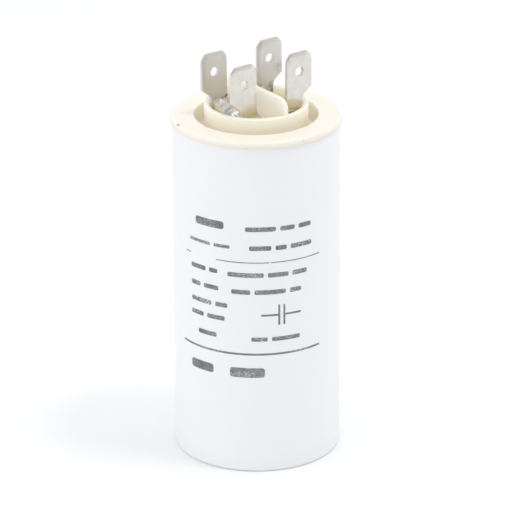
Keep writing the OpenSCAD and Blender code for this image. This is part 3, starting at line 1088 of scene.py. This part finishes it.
def build_marks(name, marks, material):
    """Low ragged crumbs and films that lie on the surfaces."""
    bm = bmesh.new()
    for place, out, length, half_l, half_w in marks:
        middle = Vector(place) * MM
        out = Vector(out).normalized()
        length = Vector(length).normalized()
        side = out.cross(length)
        low, high = [], []
        for k in range(MARK_STEPS):
            angle = math.tau * k / MARK_STEPS
            u, v = math.cos(angle), math.sin(angle)
            ragged = 1 + MARK_RAGGED * noise.noise(Vector((u, v, place[2])) * MARK_GRAIN)
            spread = (length * half_l * u + side * half_w * v) * ragged * MM
            foot = middle + spread - out * MARK_H / 2
            top = middle + spread * MARK_TOP_SHARE + out * MARK_H
            if out.z == 1:
                foot.z -= ring_drop(foot)
                top.z -= ring_drop(top)
            low.append(bm.verts.new(foot))
            high.append(bm.verts.new(top))
        for k in range(MARK_STEPS):
            after = (k + 1) % MARK_STEPS
            bm.faces.new([low[k], low[after], high[after], high[k]])
        bm.faces.new(high)
        bm.faces.new(low[::-1])
    add_piece(name, bm, material)


def dress_inner_nodes(solder):
    """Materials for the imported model's own solids inside the case."""
    wire = wire_look()
    spray = spray_look()
    looks = {
        "left_lead": wire,
        "right_lead": wire,
        "lead_sleeve": moulded_look("sleeve_plastic", SLEEVE, SLEEVE_DARK),
        "winding": film_look(),
        "winding_core": moulded_look("core_plastic", CORE, CORE_DARK),
        "upper_spray": spray,
        "lower_spray": spray,
        "upper_joint": solder,
        "lower_joint": solder,
        "filling": resin_look(),
    }
    for name, material in looks.items():
        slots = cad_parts[name].data.materials
        slots.clear()
        slots.append(material)


# Stage: the floor, and the room's light with the side on which it is dimmer
FLOOR_HALF = 2.5
FLOOR_WHITE = (0.88, 0.883, 0.89)
FLOOR_GLOW = 0.05
WORLD_COLOUR = (0.965, 0.985, 1.02)
WORLD_LIGHT = 1.0
WORLD_DIM = 0.3
DIM_SIDE = (0.6, -0.8, 0.2)
DIM_EDGE = 0.75
# Square soft lamps: direction as the photograph sees it (right, away, up), distance, size,
# power and colour
LAMPS = {
    "key": ((0.36, -0.12, 1.0), 0.9, 0.16, 1.25, (1, 0.985, 0.96)),
    "side": ((1.0, 0.3, 0.4), 0.9, 0.8, 0.52, (1, 0.96, 0.87)),
    "fill": ((-1.0, -0.5, 0.75), 0.9, 0.7, 0.5, (1, 1, 1)),
    "front": ((0.1, -1.0, 0.5), 1.1, 0.6, 0.4, (1, 0.99, 0.97)),
}


def seen_directly(tree):
    """1 for rays from the camera and for those it sees in gloss or glass, else 0."""
    rays = tree.nodes.new("ShaderNodeLightPath")
    total = None
    for name in ("Is Camera Ray", "Is Glossy Ray", "Is Transmission Ray"):
        if total is None:
            total = rays.outputs[name]
            continue
        both = tree.nodes.new("ShaderNodeMath")
        both.operation = "MAXIMUM"
        tree.links.new(total, both.inputs[0])
        tree.links.new(rays.outputs[name], both.inputs[1])
        total = both.outputs[0]
    return total


def build_floor():
    bm = bmesh.new()
    bmesh.ops.create_grid(bm, x_segments=2, y_segments=2, size=FLOOR_HALF)
    floor = add_mesh("floor", bm)
    material = bpy.data.materials.new("pale_floor")
    material.use_nodes = True
    tree = material.node_tree
    tree.nodes.clear()
    matt = tree.nodes.new("ShaderNodeBsdfDiffuse")
    matt.inputs["Color"].default_value = (*FLOOR_WHITE, 1)
    glow = tree.nodes.new("ShaderNodeEmission")
    strength = tree.nodes.new("ShaderNodeMath")
    strength.operation = "MULTIPLY"
    strength.inputs[1].default_value = FLOOR_GLOW
    tree.links.new(seen_directly(tree), strength.inputs[0])
    tree.links.new(strength.outputs[0], glow.inputs["Strength"])
    both = tree.nodes.new("ShaderNodeAddShader")
    tree.links.new(matt.outputs[0], both.inputs[0])
    tree.links.new(glow.outputs[0], both.inputs[1])
    tree.links.new(both.outputs[0], tree.nodes.new("ShaderNodeOutputMaterial").inputs["Surface"])
    floor.data.materials.append(material)


def build_world():
    """Soft white room, a little dimmer towards the photographer's right."""
    world = bpy.data.worlds.new("studio")
    bpy.context.scene.world = world
    world.use_nodes = True
    tree = world.node_tree
    room = tree.nodes["Background"]
    room.inputs["Color"].default_value = (*WORLD_COLOUR, 1)
    place = tree.nodes.new("ShaderNodeTexCoord")
    facing = tree.nodes.new("ShaderNodeVectorMath")
    facing.operation = "DOT_PRODUCT"
    facing.inputs[1].default_value = photo_direction(*DIM_SIDE)
    level = tree.nodes.new("ShaderNodeMapRange")
    level.interpolation_type = "SMOOTHSTEP"
    level.inputs["From Min"].default_value = DIM_EDGE
    level.inputs["To Min"].default_value = WORLD_LIGHT
    level.inputs["To Max"].default_value = WORLD_DIM
    tree.links.new(place.outputs["Generated"], facing.inputs[0])
    tree.links.new(facing.outputs["Value"], level.inputs["Value"])
    tree.links.new(level.outputs["Result"], room.inputs["Strength"])


def photo_direction(right, away, up):
    """Direction in the part's frame from one seen in the photograph."""
    across = Vector((math.cos(CAMERA_TURN), math.sin(CAMERA_TURN), 0))
    into = Vector((-math.sin(CAMERA_TURN), math.cos(CAMERA_TURN), 0))
    return (across * right + into * away + Vector((0, 0, up))).normalized()


def build_lamps():
    """Lamps that look at the middle of the part."""
    for name, (seen, far, size, power, colour) in LAMPS.items():
        lamp = bpy.data.lights.new(name, "AREA")
        lamp.size = size
        lamp.energy = power
        lamp.color = colour
        direction = photo_direction(*seen)
        holder = add_object(name, lamp)
        holder.location = AIM + direction * far
        holder.rotation_euler = direction.to_track_quat("Z", "Y").to_euler()


def build_camera():
    camera = bpy.data.cameras.new("camera")
    camera.lens = CAMERA_LENS
    camera.sensor_width = CAMERA_SENSOR
    camera.clip_start = CAMERA_NEAREST
    camera.clip_end = CAMERA_FURTHEST
    holder = add_object("camera", camera)
    back = Vector((
        math.sin(CAMERA_TURN) * math.cos(CAMERA_TILT),
        -math.cos(CAMERA_TURN) * math.cos(CAMERA_TILT),
        math.sin(CAMERA_TILT),
    ))
    holder.location = AIM + back * CAMERA_FAR
    holder.rotation_euler = back.to_track_quat("Z", "Y").to_euler()
    holder.rotation_euler.rotate_axis("Z", CAMERA_ROLL)
    bpy.context.scene.camera = holder


build_camera()
build_case(case_look())
build_deck(deck_look())
sheet = sheet_look()
solder = solder_look()
build_terminal("left_terminal_sheet", "left_terminal", -1, sheet)
build_terminal("right_terminal_sheet", "right_terminal", 1, sheet)
build_solder("left_solder_run", "left_solder", -1, LEFT_LUMPS, LEFT_FLUX, solder)
build_solder("right_solder_run", "right_solder", 1, RIGHT_LUMPS, RIGHT_FLUX, solder)
build_print(ink_look())
build_marks("dirt_marks", DIRT_MARKS, mark_look("dark_dirt", DIRT, DIRT_PALE))
build_marks("faint_marks", FAINT_MARKS, mark_look("pale_dirt", DUST, DUST_PALE))
# Burnt flux on the left back tab, and a painted shadow under the right front tab's bend
build_marks("flux_and_shadow_marks", FLUX_AND_SHADOW_MARKS, mark_look("burnt_flux_and_painted_shadow", BURNT_FLUX_AND_SHADOW, BROWN_FLUX_AND_SHADOW))
dress_inner_nodes(solder)
build_floor()
build_world()
build_lamps()
bpy.context.scene.view_settings.view_transform = "Standard"

bpy.context.view_layer.update()
